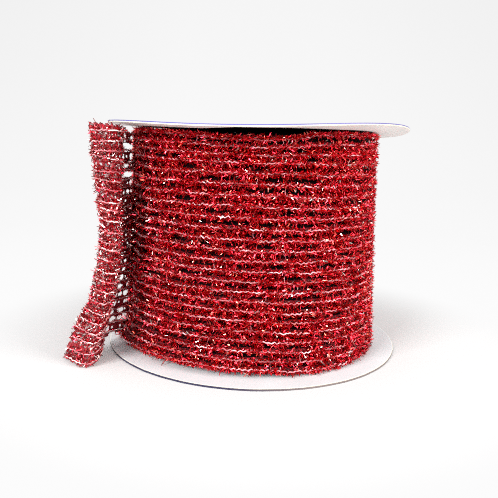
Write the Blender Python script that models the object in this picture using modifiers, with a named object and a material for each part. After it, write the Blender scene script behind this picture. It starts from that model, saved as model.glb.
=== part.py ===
"""A roll of tinsel ribbon, wound on a spool with two flanges, with one loose end.

The spool stands on its lower flange. Z is up, the origin is at the middle of the lower
flange's underside, and the loose end leaves the roll on the -X side and curls towards -Y.
Angles go round the spool's axis, counted from +X towards +Y.
"""

import math

import bpy
from mathutils import Vector

MM = 0.001

# Spool: two discs cut from thin board
FLANGE_RADIUS = 70.0 * MM
BOARD_THICKNESS = 1.0 * MM
INNER_HEIGHT = 101.6 * MM
FLANGE_SEGMENTS = 96
UPPER_FLANGE_RINGS = (20.0 * MM, 38.0 * MM, 50.0 * MM, 60.0 * MM)
UPPER_FLANGE_STEPS = 60

# The upper disc is slightly bent: waves round its rim, each with its height and the
# direction in which it rises, and an even lift of the whole rim, here downwards
RIM_LIFT = -0.3 * MM
RIM_WAVES = (
    {"count": 1, "height": 0.6 * MM, "towards": -102.0},
    {"count": 2, "height": 1.05 * MM, "towards": -47.0},
    {"count": 3, "height": 1.0 * MM, "towards": -32.0},
)
BEND_POWER = 3

# Wound ribbon: rows of tinsel one above the other, on a slightly conical roll
ROW_COUNT = 24
ROW_PITCH = 4.262 * MM
FIRST_ROW_HEIGHT = 3.39 * MM
ROW_HALF_FLAT = 1.2 * MM
ROW_RELIEF = 1.3 * MM
ROLL_RADIUS_LOW = 59.8 * MM
ROLL_RADIUS_HIGH = 56.0 * MM
ROLL_WAIST = 0.6 * MM
ROLL_SHIFT_X = -0.8 * MM
ROLL_STEPS = 60
SELVEDGE_INSET = 2.0 * MM
SELVEDGE_DROP = 0.9 * MM
LOWER_FRINGE = 0.6 * MM
FILLED_RADIUS = 30.0 * MM

# One layer of ribbon makes the roll grow by this much in a full turn, up to a step
# where the last layer becomes the loose end
LAYER_GROWTH = 2.4 * MM
STEP_ANGLE = 168.0
STEP_WIDTH = 0.5

# The upper rows have settled, most of all at the front, where they also have a dip; the
# middle rows sag, the rows tilt a little from side to side, and the lowest ones wave
TOP_SETTLE = 2.5 * MM
FRONT_SAG = 0.72 * MM
FRONT_ANGLE = -90.0
FRONT_DIP = 1.6 * MM
FRONT_DIP_HALF_WIDTH = 26.0
SAG_DEPTH = 14.0 * MM
MIDDLE_SAG = 1.91 * MM
ROW_TILT = 0.23 * MM
FOOT_WAVE = {"count": 3, "height": 1.02 * MM, "towards": -104.0}

# Loose end: a sheet as wide as the ribbon
SHEET_THICKNESS = 2.0 * MM
SHEET_GROOVE = 0.55
SHEET_CREST_AT = (0.0, 0.2, 0.8)
SHEET_ROOT_ANGLES = (168.6, 175.7, 182.9, 190.0)
SHEET_ROOT_GAP = 0.45 * MM

# Plan of the loose end at some heights, in millimetres: where it turns forward off the
# roll, the side of its fold, its foremost line and its cut end; height is the share of the
# ribbon's width from below
SHEET_PLAN = (
    {"height": 0.00, "turn": (-69.8, -23.0), "side": (-66.9, -39.0),
     "nose": (-70.0, -51.5), "end": (-82.5, -41.0)},
    {"height": 0.13, "turn": (-67.2, -22.0), "side": (-65.3, -38.0),
     "nose": (-66.6, -51.0), "end": (-77.6, -42.0)},
    {"height": 0.27, "turn": (-63.5, -22.0), "side": (-61.4, -38.0),
     "nose": (-62.6, -50.0), "end": (-70.9, -40.0)},
    {"height": 0.40, "turn": (-61.9, -22.0), "side": (-58.8, -38.0),
     "nose": (-59.8, -48.0), "end": (-67.7, -40.0)},
    {"height": 0.55, "turn": (-61.4, -22.0), "side": (-58.2, -37.5),
     "nose": (-58.9, -46.0), "end": (-66.2, -39.0)},
    {"height": 0.71, "turn": (-61.0, -21.5), "side": (-58.0, -37.0),
     "nose": (-59.0, -45.0), "end": (-68.0, -37.0)},
    {"height": 0.86, "turn": (-60.5, -21.0), "side": (-57.6, -36.5),
     "nose": (-59.5, -44.0), "end": (-70.0, -35.0)},
    {"height": 1.00, "turn": (-60.0, -21.0), "side": (-56.8, -36.0),
     "nose": (-58.5, -43.0), "end": (-72.2, -33.0)},
)

# Lower and upper edge of the sheet, above the lower flange, at each point of its plan
SHEET_EDGES = (
    {"lower": 2.3 * MM, "upper": 99.0 * MM},
    {"lower": 2.3 * MM, "upper": 99.0 * MM},
    {"lower": 2.3 * MM, "upper": 99.0 * MM},
    {"lower": 2.3 * MM, "upper": 99.0 * MM},
    {"lower": 2.2 * MM, "upper": 99.2 * MM},
    {"lower": -0.2 * MM, "upper": 100.0 * MM},
    {"lower": -0.5 * MM, "upper": 100.7 * MM},
    {"lower": -0.6 * MM, "upper": 101.6 * MM},
)

# Grid spans between the points of the sheet's plan
SHEET_SPANS = (1, 1, 1, 3, 3, 2, 3)

GAP = 0.3 * MM
MERGE_DISTANCE = 0.05 * MM
SHARP_ANGLE = math.radians(40.0)


def new_material(name, colour, roughness, metallic):
    """A plain Principled material."""
    material = bpy.data.materials.new(name)
    material.use_nodes = True
    shader = material.node_tree.nodes["Principled BSDF"]
    shader.inputs["Base Color"].default_value = (*colour, 1.0)
    shader.inputs["Roughness"].default_value = roughness
    shader.inputs["Metallic"].default_value = metallic
    material.diffuse_color = (*colour, 1.0)
    return material


def polar(point):
    """Distance from the axis and angle in degrees."""
    return math.hypot(point.x, point.y), math.degrees(math.atan2(point.y, point.x))


def from_polar(radius, angle, height):
    """The point at a distance, an angle in degrees and a height."""
    turn = math.radians(angle)
    return Vector((radius * math.cos(turn), radius * math.sin(turn), height))


def rim_bend(radius, angle):
    """How far the upper flange is bent up at a place."""
    lift = RIM_LIFT
    for wave in RIM_WAVES:
        lift += wave["height"] * math.cos(wave["count"] * math.radians(angle - wave["towards"]))
    return lift * (radius / FLANGE_RADIUS) ** BEND_POWER


def roll_radius(height):
    """Radius of the wound roll, without its spiral, at a height above the lower flange."""
    share = min(max(height / INNER_HEIGHT, 0.0), 1.0)
    cone = ROLL_RADIUS_LOW + (ROLL_RADIUS_HIGH - ROLL_RADIUS_LOW) * share
    return cone - ROLL_WAIST * 4.0 * share * (1.0 - share)


def spiral_growth(angle):
    """Growth of the spiral from the step round to the given angle."""
    return LAYER_GROWTH * ((angle - STEP_ANGLE) % 360.0) / 360.0


def turned_object(name, profile, steps):
    """A closed solid made by turning a profile of (radius, height) round the Z axis."""
    mesh = bpy.data.meshes.new(name + "_profile")
    edges = [(index, index + 1) for index in range(len(profile) - 1)]
    mesh.from_pydata([(radius, 0.0, height) for radius, height in profile], edges, [])
    outline = bpy.data.objects.new(name + "_profile", mesh)
    bpy.context.scene.collection.objects.link(outline)
    screw = outline.modifiers.new("Screw", "SCREW")
    screw.axis = "Z"
    screw.angle = math.tau
    screw.steps = steps
    screw.render_steps = steps
    screw.use_merge_vertices = True
    screw.merge_threshold = MERGE_DISTANCE
    bpy.context.view_layer.update()
    evaluated = outline.evaluated_get(bpy.context.evaluated_depsgraph_get())
    solid_mesh = bpy.data.meshes.new_from_object(evaluated)
    solid_mesh.name = name
    bpy.data.objects.remove(outline)
    bpy.data.meshes.remove(mesh)
    return bpy.data.objects.new(name, solid_mesh)


def finish_object(obj, collection, material):
    """Gives a finished object its material, shading and collection."""
    obj.data.materials.clear()
    obj.data.materials.append(material)
    obj.data.shade_smooth()
    obj.data.set_sharp_from_angle(angle=SHARP_ANGLE)
    collection.objects.link(obj)


def make_lower_flange(collection, material):
    """The flat disc that the roll stands on."""
    bpy.ops.mesh.primitive_cylinder_add(
        vertices=FLANGE_SEGMENTS,
        radius=FLANGE_RADIUS,
        depth=BOARD_THICKNESS,
        end_fill_type="NGON",
        location=(0.0, 0.0, BOARD_THICKNESS / 2.0),
    )
    flange = bpy.context.active_object
    flange.name = "flange_bottom"
    flange.data.name = "flange_bottom"
    for owner in list(flange.users_collection):
        owner.objects.unlink(flange)
    finish_object(flange, collection, material)


def make_upper_flange(collection, material):
    """The upper disc, bent a little, as board that has been handled is."""
    underside = BOARD_THICKNESS + INNER_HEIGHT
    rings = (0.0,) + UPPER_FLANGE_RINGS + (FLANGE_RADIUS,)
    profile = [(radius, underside + BOARD_THICKNESS) for radius in rings]
    profile += [(radius, underside) for radius in reversed(rings)]
    flange = turned_object("flange_top", profile, UPPER_FLANGE_STEPS)
    for vertex in flange.data.vertices:
        radius, angle = polar(vertex.co)
        vertex.co.z += rim_bend(radius, angle)
    finish_object(flange, collection, material)


def roll_profile():
    """Outline of the wound roll from the top of its axis, down its rows, to the bottom."""
    top = INNER_HEIGHT - GAP
    profile = [(0.0, top), (FILLED_RADIUS, top)]
    last_row = FIRST_ROW_HEIGHT + (ROW_COUNT - 1) * ROW_PITCH
    shoulder = last_row + ROW_HALF_FLAT + SELVEDGE_DROP
    profile.append((roll_radius(shoulder) - SELVEDGE_INSET, shoulder))
    for row in reversed(range(ROW_COUNT)):
        centre = FIRST_ROW_HEIGHT + row * ROW_PITCH
        below = ROW_HALF_FLAT if row > 0 else ROW_HALF_FLAT + LOWER_FRINGE
        for height in (centre + ROW_HALF_FLAT, centre - below):
            profile.append((roll_radius(height), height))
        if row > 0:
            groove = centre - ROW_PITCH / 2.0
            profile.append((roll_radius(groove) - ROW_RELIEF, groove))
    foot = FIRST_ROW_HEIGHT - ROW_HALF_FLAT - LOWER_FRINGE - SELVEDGE_DROP
    profile.append((roll_radius(foot) - SELVEDGE_INSET, foot))
    profile.append((FILLED_RADIUS, GAP))
    profile.append((0.0, GAP))
    return [(radius, height + BOARD_THICKNESS) for radius, height in profile]


def wind(point):
    """Moves a point of the turned roll to its place on the real winding."""
    radius, angle = polar(point)
    height = point.z - BOARD_THICKNESS
    share = radius / roll_radius(height)
    column = 360.0 / ROLL_STEPS
    before_step = STEP_ANGLE - column
    if abs(angle - before_step) < column / 2.0:
        angle = STEP_ANGLE - STEP_WIDTH
    radius += spiral_growth(angle) * share ** 2
    level = min(max(height / INNER_HEIGHT, 0.0), 1.0)
    near_top = max(0.0, 1.0 - (INNER_HEIGHT - height) / SAG_DEPTH)
    towards_front = max(0.0, math.cos(math.radians(angle - FRONT_ANGLE)))
    from_front = (angle - FRONT_ANGLE + 180.0) % 360.0 - 180.0
    dip = FRONT_DIP * math.exp(-(from_front / FRONT_DIP_HALF_WIDTH) ** 4)
    settle = TOP_SETTLE + FRONT_SAG * towards_front ** 2 + dip
    turn = FOOT_WAVE["count"] * math.radians(angle - FOOT_WAVE["towards"])
    foot = FOOT_WAVE["height"] * math.cos(turn) * (1.0 - level) ** 2
    tilt = ROW_TILT * math.cos(math.radians(angle)) * (1.0 - level ** 2)
    height += near_top * (rim_bend(radius, angle) - settle * share ** 4)
    height += (foot - tilt) * share ** 4 - MIDDLE_SAG * 4.0 * level * (1.0 - level)
    moved = from_polar(radius, angle, max(height, GAP) + BOARD_THICKNESS)
    moved.x += ROLL_SHIFT_X * share
    return moved


def make_roll(collection, material):
    """The ribbon wound on the spool, as one solid with its rows raised."""
    roll = turned_object("ribbon_roll", roll_profile(), ROLL_STEPS)
    for vertex in roll.data.vertices:
        vertex.co = wind(vertex.co)
    finish_object(roll, collection, material)


def smooth_value(knots, values, at):
    """Smooth curve through values at knots, read at one place."""
    last = len(knots) - 1
    index = 0
    while index < last - 1 and at > knots[index + 1]:
        index += 1

    def slope(place):
        low = max(place - 1, 0)
        high = min(place + 1, last)
        return (values[high] - values[low]) / (knots[high] - knots[low])

    width = knots[index + 1] - knots[index]
    t = (at - knots[index]) / width
    start = values[index] * (2.0 * t ** 3 - 3.0 * t ** 2 + 1.0)
    end = values[index + 1] * (3.0 * t ** 2 - 2.0 * t ** 3)
    leave = slope(index) * width * (t ** 3 - 2.0 * t ** 2 + t)
    arrive = slope(index + 1) * width * (t ** 3 - t ** 2)
    return start + leave + end + arrive


def sheet_plan(share):
    """The eight points of the loose end's plan at a share of the ribbon's width."""
    height = SHEET_EDGES[0]["lower"] + share * (SHEET_EDGES[0]["upper"] - SHEET_EDGES[0]["lower"])
    reach = roll_radius(height) + SHEET_ROOT_GAP + SHEET_THICKNESS / 2.0
    points = []
    for angle in SHEET_ROOT_ANGLES:
        point = from_polar(reach + spiral_growth(angle), angle, 0.0)
        point.x += ROLL_SHIFT_X
        points.append(point.to_2d())
    knots = [row["height"] for row in SHEET_PLAN]
    for key in ("turn", "side", "nose", "end"):
        values = [Vector(row[key]) * MM for row in SHEET_PLAN]
        points.append(smooth_value(knots, values, share))
    return points


def sheet_point(column, row_share):
    """A point of the loose end's middle surface, at a grid column and a share of width."""
    stops = [sum(SHEET_SPANS[:count]) for count in range(len(SHEET_SPANS) + 1)]
    plan = sheet_plan(row_share)
    knots = [0.0]
    for start, end in zip(plan, plan[1:]):
        knots.append(knots[-1] + (end - start).length)
    segment = max(index for index in range(len(SHEET_SPANS)) if stops[index] <= column)
    along = (column - stops[segment]) / SHEET_SPANS[segment]
    at = knots[segment] + along * (knots[segment + 1] - knots[segment])
    place = smooth_value(knots, plan, at)
    lower = smooth_value(knots, [edge["lower"] for edge in SHEET_EDGES], at)
    upper = smooth_value(knots, [edge["upper"] for edge in SHEET_EDGES], at)
    height = BOARD_THICKNESS + lower + row_share * (upper - lower)
    return Vector((place.x, place.y, height))


def make_loose_end(collection, material):
    """The free end of the ribbon: a thin sheet with a groove between its rows."""
    columns = sum(SHEET_SPANS)
    rings = ROW_COUNT * len(SHEET_CREST_AT)
    bpy.ops.mesh.primitive_grid_add(x_subdivisions=columns, y_subdivisions=rings, size=1.0)
    sheet = bpy.context.active_object
    sheet.name = "ribbon_tail"
    sheet.data.name = "ribbon_tail"
    for owner in list(sheet.users_collection):
        owner.objects.unlink(sheet)
    ribs = sheet.vertex_groups.new(name="rows")
    for vertex in sheet.data.vertices:
        column = round((vertex.co.x + 0.5) * columns)
        ring = round((vertex.co.y + 0.5) * rings)
        row, part = divmod(ring, len(SHEET_CREST_AT))
        ribs.add([vertex.index], 0.0 if part == 0 else 1.0, "REPLACE")
        vertex.co = sheet_point(column, (row + SHEET_CREST_AT[part]) / ROW_COUNT)
    solidify = sheet.modifiers.new("Solidify", "SOLIDIFY")
    solidify.thickness = SHEET_THICKNESS
    solidify.offset = 0.0
    solidify.vertex_group = "rows"
    solidify.thickness_vertex_group = SHEET_GROOVE
    finish_object(sheet, collection, material)


def main():
    """Builds the roll of ribbon."""
    for obj in list(bpy.data.objects):
        bpy.data.objects.remove(obj)
    collection = bpy.data.collections.new("ribbon_roll_on_spool")
    bpy.context.scene.collection.children.link(collection)
    board = new_material("white_board", (0.86, 0.85, 0.82), 0.6, 0.0)
    tinsel = new_material("red_tinsel", (0.5, 0.01, 0.018), 0.35, 0.7)
    loose_tinsel = new_material("red_tinsel_loose", (0.6, 0.015, 0.025), 0.35, 0.7)
    upper_board = new_material("white_board_upper", (0.86, 0.85, 0.82), 0.6, 0.0)
    make_lower_flange(collection, board)
    make_upper_flange(collection, upper_board)
    make_roll(collection, tinsel)
    make_loose_end(collection, loose_tinsel)


main()
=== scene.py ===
"""Looks of a roll of red tinsel ribbon on a white board spool, with one loose end at the left.

Sizes are in millimetres and become metres only when a mesh is made. Angles go round the
spool's axis in degrees, counted from +X towards +Y, and heights are above the lower flange.
"""

import math

import bpy
import numpy as np
from mathutils import Matrix, Vector


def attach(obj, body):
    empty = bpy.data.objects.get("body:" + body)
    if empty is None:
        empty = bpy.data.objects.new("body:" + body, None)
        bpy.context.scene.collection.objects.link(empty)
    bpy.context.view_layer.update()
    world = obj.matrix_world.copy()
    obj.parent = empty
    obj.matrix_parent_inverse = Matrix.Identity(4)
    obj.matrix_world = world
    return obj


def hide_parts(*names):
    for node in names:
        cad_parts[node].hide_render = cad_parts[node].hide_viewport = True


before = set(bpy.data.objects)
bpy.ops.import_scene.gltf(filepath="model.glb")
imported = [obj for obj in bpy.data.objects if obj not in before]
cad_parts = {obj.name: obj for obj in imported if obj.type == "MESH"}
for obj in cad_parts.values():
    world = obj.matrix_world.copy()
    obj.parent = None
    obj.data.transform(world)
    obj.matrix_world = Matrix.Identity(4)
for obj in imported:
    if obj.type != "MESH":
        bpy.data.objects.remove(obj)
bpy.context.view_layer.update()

MM = 0.001
rng = np.random.default_rng(24)

# Spool
FLANGE_RADIUS = 70.0
BOARD_THICKNESS = 1.0
INNER_HEIGHT = 101.6
CLEAR_OF_FLANGE = 0.15

# Bend of the upper flange: an even lift of its rim, and waves round it, each with its number,
# its height and the angle where it is highest
RIM_LIFT = -0.3
RIM_WAVES = ((1, 0.6, -102.0), (2, 1.05, -47.0), (3, 1.0, -32.0))
BEND_POWER = 3

# How far the upper flange is pressed in towards the roll at each angle, most at one radius
DISH_AT = (-180.0, -150.0, -112.0, -99.0, -78.0, -55.0, -20.0, 40.0, 110.0, 180.0)
DISH_DEPTH = (0.9, 1.1, 1.0, 0.2, 0.3, 1.1, 1.3, 0.7, 0.3, 0.9)
DISH_RADIUS = 58.0

# Wound ribbon: rows of tinsel, each held by a chain of thread
ROW_COUNT = 24
LAST_ROW = ROW_COUNT - 1
ROW_PITCH = 4.262
FIRST_ROW_HEIGHT = 3.39
LOWEST = 0.3
RADIUS_LOW = 59.8
RADIUS_HIGH = 56.0
ROLL_WAIST = 0.6
ROLL_SHIFT_X = -0.8
LAYER_GROWTH = 2.4
STEP_ANGLE = 168.0

# How the rows hang: the top ones have settled, and most at the front, where they also dip,
# and the last one droops at both sides
TOP_SETTLE = 2.5
SETTLE_DEPTH = 14.0
FRONT_SAG = 0.72
FRONT_ANGLE = -90.0
FRONT_DIP = 1.6
FRONT_DIP_HALF_WIDTH = 21.0
EDGE_DROOP = 0.6
EDGE_DROOP_DEPTH = 5.0
EDGE_DROOP_LIMIT = 1.2
MIDDLE_SAG = 1.91
ROW_TILT = 0.23
FOOT_WAVE = (3, 1.02, -104.0)

# The winding is drawn in at the right, where its outer layer is loose, and its foot flares
# where the loose end leaves it, over a spread in degrees and one in mm
LOOSE_ANGLE = -11.0
TUCK = 1.1
TUCK_SPREAD = 26.0
FOOT_FLARE = 5.6
FOOT_FLARE_ANGLE = 191.0
FOOT_FLARE_SPREAD = (17.0, 11.0)

# Film strips of the tinsel: flat, a little curled and twisted, narrower towards the tip
STRIP_WIDTH = 0.41
WIDTH_SHARES = (0.75, 1.25)
STRIP_CURL = (0.1, 0.75)
STRIP_TWIST = 1.4
STRIP_TAPER = 0.2

# The two kinds of strip: how many a row, where their roots start, how far they lean out,
# their lengths, and the cross lines that each is made of
CURLED = {"per_row": 4000, "start": -0.3, "lean": 1.0, "length": (1.2, 2.5), "lines": 3}
FLAT = {"per_row": 6000, "start": -0.5, "lean": 0.7, "length": (0.7, 1.6), "lines": 2}
DEEP_PER_ROW = 700
DEEP_OUT = (-3.4, -2.3)
FRINGE_PER_EDGE = 2600
FRINGE_PAST_TOP = 0.3
FRINGE_PAST_FOOT = 1.9
FILM_BANDS = 6

# How the strips point: their spread round the roll, and their mean and spread upwards. Those
# of the layer beneath: their greatest lean out, and spreads round and up. Those of the fringe:
# their least and greatest lean out, spread round, and least and greatest rise or fall
STRIP_ALONG = 0.7
STRIP_UP = (0.05, 0.6)
DEEP_WAYS = (0.6, 0.8, 0.6)
FRINGE_AWAY = (-0.2, 0.6)
FRINGE_ALONG = 0.6
FRINGE_UP = (0.1, 1.0)

# Where the fringe has its roots: the nearest and how much deeper, how much it draws in for
# each mm past the foot, and how far above the inner height it may start
FRINGE_ROOT = (-0.3, 1.3)
FRINGE_DRAW_IN = 0.9
FRINGE_ABOVE = 1.5

# Where the strips of a row have their roots, as shares of the way up to the next row: evenly
# in a range, or close to the chain. The cloth dips half way between two rows
ROOT_RANGE = (-0.12, 0.88)
CLOSE_SHARE = 0.5
CLOSE_SPREAD = 0.17
ROOT_RISE = 0.15
ROOT_DEPTH = 0.9
VALLEY_DEPTH = 1.5
LAST_ROW_PART = 0.1
LAST_ROW_UP = 0.2

# Open meshes of the knit: dark dashes about half way between two rows, some of them shut
DASH_COUNT = 26
DASH_JITTER = 0.22
DASH_MIDDLE = 0.46
DASH_HALF_HIGH = 0.19
DASH_HALF_LONG = (2.6, 6.6)
DASH_CLEAR_OF_TIPS = 1.3
SHUT_SHARE = 0.28
SHUT_SHARE_HIGH = 0.5
HIGH_ROWS = 15

# Where the outer layer is loose, light comes through between its rows, and some gaps there
# are open windows. Film is also thin between the rows where the loose end leaves
BETWEEN_ROWS = (0.24, 0.8)
LOOSE_SHARE = 0.93
LOOSE_HALF_WIDTH = 13.0
LEAVING_SHARE = 0.85
LEAVING_ANGLE = -168.0
LEAVING_HALF_WIDTH = 17.0
WINDOW_GAPS = (2, 3, 9, 14, 17, 19, 22)
WINDOW_HALF_WIDTH = 21.0
WINDOW_RANGE = (0.3, 0.72)

# The film is sparse at the left of the roll and in its top rows
SPARSE_ANGLE = -158.0
SPARSE_HALF_WIDTH = 23.0
SPARSE_SHARE = 0.72
TOP_SPARSE_ROWS = 2
TOP_SPARSE_SHARE = 0.38

# The chain of thread along each row, and the cross threads from row to row
STITCH_LENGTH = 2.3
STITCH_SWING = 0.38
THREAD_RADIUS = 0.35
LOOSE_THREAD_RADIUS = 0.30
THREAD_CORNERS = (90.0, 210.0, 330.0)
CHAIN_WAVES = (17, 26, 41)
CHAIN_WAVE_SIZE = 0.22
CHAIN_SUNK_AT = (0, 12, 18, 23)
CHAIN_SUNK = (0.1, 0.1, 0.3, 0.4)
TIES_PER_ROW = 6
TIE_RADIUS = 0.12
TIE_POINTS = 5
TIE_SAG = 0.7

# How uneven the threads are: each chain point's place as a share of its step, its swing as
# shares and in mm, and how far out it stands; each cross thread's points and lean in degrees,
# how deep its ends lie, and how far out its points stray
STEP_JITTER = 0.25
SWING_SHARES = (0.2, 1.2)
SWING_JITTER = 0.08
CHAIN_JITTER = 0.15
TIE_JITTER = 0.25
TIE_LEAN = 0.5
TIE_DEPTH = 0.1
TIE_STRAY = 0.08

# Colour cells of the film's own map: one strip takes its shade from one cell, of which it
# covers these shares across and along
CELLS = 32
CELL_ACROSS = (0.15, 0.85)
CELL_ALONG = (0.1, 0.9)

# Loose end: plan of the sheet at shares of its width, from the lower edge
TAIL_HEIGHTS = (0.0, 0.13, 0.27, 0.40, 0.55, 0.71, 0.86, 1.0)
TAIL_TURN = (
    (-69.8, -23.0), (-67.2, -22.0), (-63.5, -22.0), (-61.9, -22.0),
    (-61.4, -22.0), (-61.0, -21.5), (-60.5, -21.0), (-60.0, -21.0),
)
TAIL_SIDE = (
    (-66.9, -39.0), (-65.3, -38.0), (-61.4, -38.0), (-58.8, -38.0),
    (-58.2, -37.5), (-58.0, -37.0), (-57.6, -36.5), (-56.8, -36.0),
)
TAIL_NOSE = (
    (-70.0, -51.5), (-66.6, -51.0), (-62.6, -50.0), (-59.8, -48.0),
    (-58.9, -46.0), (-59.0, -45.0), (-59.5, -44.0), (-58.5, -43.0),
)
TAIL_END = (
    (-82.5, -41.0), (-77.6, -42.0), (-70.9, -40.0), (-67.7, -40.0),
    (-66.2, -39.0), (-68.0, -37.0), (-70.0, -35.0), (-72.2, -33.0),
)

# At the plan's eight points, from the root on the roll to the cut end: heights of the lower
# and the upper edge. The first four points lie on the roll, at these angles
TAIL_LOWER = (2.3, 2.3, 2.3, 2.3, 2.2, -0.2, -0.5, -0.6)
TAIL_UPPER = (99.0, 99.0, 99.0, 99.0, 99.2, 100.0, 100.7, 101.6)
TAIL_ROOT_ANGLES = (168.6, 175.7, 182.9, 190.0)
TAIL_ROOT_REACH = 1.45
TAIL_WIDTH = 101.6


def hex_colour(text, alpha=1.0):
    """An sRGB hex value as a linear colour: c/12.92 below 0.04045, else ((c+0.055)/1.055)^2.4."""
    parts = [int(text[i:i + 2], 16) / 255.0 for i in (0, 2, 4)]
    linear = [c / 12.92 if c <= 0.04045 else ((c + 0.055) / 1.055) ** 2.4 for c in parts]
    return (*linear, alpha)


def add_node(tree, kind, settings=None, links=None):
    """Adds a shader node; settings are its properties or sockets, links its sockets' sources."""
    node = tree.nodes.new("ShaderNode" + kind)
    for key, value in (settings or {}).items():
        if isinstance(key, int) or key in node.inputs:
            node.inputs[key].default_value = value
        else:
            setattr(node, key, value)
    for key, source in (links or {}).items():
        tree.links.new(source, node.inputs[key])
    return node


def set_ramp(node, stops):
    """Gives a colour ramp its stops: pairs of a place and an sRGB hex value."""
    ramp = node.color_ramp
    while len(ramp.elements) < len(stops):
        ramp.elements.new(0.5)
    for element, (place, colour) in zip(ramp.elements, stops):
        element.position = place
        element.color = hex_colour(colour)
    return node


def new_material(name, finish):
    """A node material with its output and a Principled shader, whose constant sockets are the finish."""
    material = bpy.data.materials.new(name)
    material.use_nodes = True
    tree = material.node_tree
    tree.nodes.clear()
    shader = add_node(tree, "BsdfPrincipled", finish)
    add_node(tree, "OutputMaterial", links={"Surface": shader.outputs[0]})
    return material, tree, shader


def mesh_piece(name, points, faces, uv, material, smooth=True):
    """A piece from an array of points in mm and one of quads, with a map value per corner."""
    mesh = bpy.data.meshes.new(name)
    count, sides = faces.shape
    mesh.vertices.add(len(points))
    mesh.vertices.foreach_set("co", (points * MM).astype(np.float32).ravel())
    mesh.loops.add(faces.size)
    mesh.loops.foreach_set("vertex_index", faces.astype(np.int32).ravel())
    mesh.polygons.add(count)
    mesh.polygons.foreach_set("loop_start", np.arange(0, faces.size, sides, dtype=np.int32))
    layer = mesh.uv_layers.new(name="OFBake")
    layer.data.foreach_set("uv", uv.astype(np.float32).ravel())
    mesh.update(calc_edges=True)
    if smooth:
        mesh.shade_smooth()
    else:
        mesh.shade_flat()
    mesh.materials.append(material)
    piece = bpy.data.objects.new(name, mesh)
    bpy.context.scene.collection.objects.link(piece)
    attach(piece, "root")
    return piece


def ring_quads(lines, steps):
    """Quads of a grid that closes round the axis, and the line and column of each.

    A quad goes from its own point to the next round the ring, then up by one line.
    """
    line, column = np.meshgrid(np.arange(lines), np.arange(steps), indexing="ij")
    here = line * steps + column
    beside = line * steps + (column + 1) % steps
    quads = np.stack([here, beside, beside + steps, here + steps], -1)
    return quads.reshape(-1, 4), line, column


def cell_map(column, columns, low, high):
    """Map values of a grid's quads: across by their columns, and up from a low to a high value."""
    u = np.stack([column, column + 1, column + 1, column], -1) / columns
    v = np.stack([low, low, high, high], -1)
    return np.stack([u, v], -1).reshape(-1, 2)


def off_angle(angle, middle):
    """How far an angle is from a middle one, the short way round, from -180 to 180."""
    return (angle - middle + 180.0) % 360.0 - 180.0


def bell(away, half_width, power=2):
    """The exponential of minus a power of the distance over the half width."""
    return np.exp(-(away / half_width) ** power)


def rim_bend(radius, angle):
    """Bend of the upper flange: waves round its rim, times the third power of the radius."""
    lift = RIM_LIFT + sum(
        height * np.cos(count * np.radians(angle - towards)) for count, height, towards in RIM_WAVES
    )
    return lift * (radius / FLANGE_RADIUS) ** BEND_POWER


def board_dish(radius, angle):
    """How far the upper flange is pressed in towards the roll, between its axis and its rim.

    The depth by angle, times the radius squared inside the dish's ring and times a smooth
    step 3s^2 - 2s^3 from there out to the rim.
    """
    depth = np.interp(angle, DISH_AT, DISH_DEPTH)
    inside = np.clip(radius / DISH_RADIUS, 0.0, 1.0) ** 2
    s = np.clip((FLANGE_RADIUS - radius) / (FLANGE_RADIUS - DISH_RADIUS), 0.0, 1.0)
    return depth * inside * (3.0 * s ** 2 - 2.0 * s ** 3)


def crest_radius(height):
    """Radius of the rows' crests: a cone from the lower to the upper radius, less a waist."""
    share = np.clip(height / INNER_HEIGHT, 0.0, 1.0)
    cone = RADIUS_LOW + (RADIUS_HIGH - RADIUS_LOW) * share
    return cone - ROLL_WAIST * 4.0 * share * (1.0 - share)


def spiral_growth(angle):
    """Growth of the winding: one layer's thickness, shared evenly over the full turn."""
    return LAYER_GROWTH * ((angle - STEP_ANGLE) % 360.0) / 360.0


def wound_point(angle, height, out):
    """Point of the winding at an angle, a height and a distance out from the rows' crests.

    The radius grows with the spiral and with the flare of the foot, and is drawn in at the
    loose side, both bells of the angle. Near the top the height follows the bent flange, less
    the settling there: it is most at the front, by the square of the cosine, and has a flat
    dip there, a bell of the sixth power. The last row droops at both sides. The height also
    sags in the middle, tilts by the cosine of the angle, and waves at the foot. Towards the
    axis all but the middle sag fade with powers of the radius.
    """
    base = crest_radius(height)
    radius = base + out
    share = radius / base
    flare = bell(off_angle(angle, FOOT_FLARE_ANGLE), FOOT_FLARE_SPREAD[0])
    flare = flare * bell(height, FOOT_FLARE_SPREAD[1])
    tuck = bell(off_angle(angle, LOOSE_ANGLE), TUCK_SPREAD)
    radius = radius + spiral_growth(angle) * share ** 2 + (FOOT_FLARE * flare - TUCK * tuck) * share ** 4
    turn = np.radians(angle)
    level = np.clip(height / INNER_HEIGHT, 0.0, 1.0)
    below_top = INNER_HEIGHT - height
    near_top = np.clip(1.0 - below_top / SETTLE_DEPTH, 0.0, None)
    to_front = np.clip(np.cos(np.radians(angle - FRONT_ANGLE)), 0.0, None)
    dip = FRONT_DIP * bell(off_angle(angle, FRONT_ANGLE), FRONT_DIP_HALF_WIDTH, 6)
    settle = TOP_SETTLE + FRONT_SAG * to_front ** 2 + dip
    droop = EDGE_DROOP * np.cos(turn) ** 2 * share ** 6
    droop = droop * np.clip(1.0 - below_top / EDGE_DROOP_DEPTH, 0.0, EDGE_DROOP_LIMIT)
    count, depth, towards = FOOT_WAVE
    foot = depth * np.cos(count * np.radians(angle - towards)) * (1.0 - level) ** 2
    tilt = ROW_TILT * np.cos(turn) * (1.0 - level ** 2)
    rise = near_top * (rim_bend(radius, angle) - settle * share ** 4) + (foot - tilt) * share ** 4
    z = BOARD_THICKNESS + height + rise - droop - MIDDLE_SAG * 4.0 * level * (1.0 - level)
    x = radius * np.cos(turn) + ROLL_SHIFT_X * share
    return np.stack([x, radius * np.sin(turn), z], -1)


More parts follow.
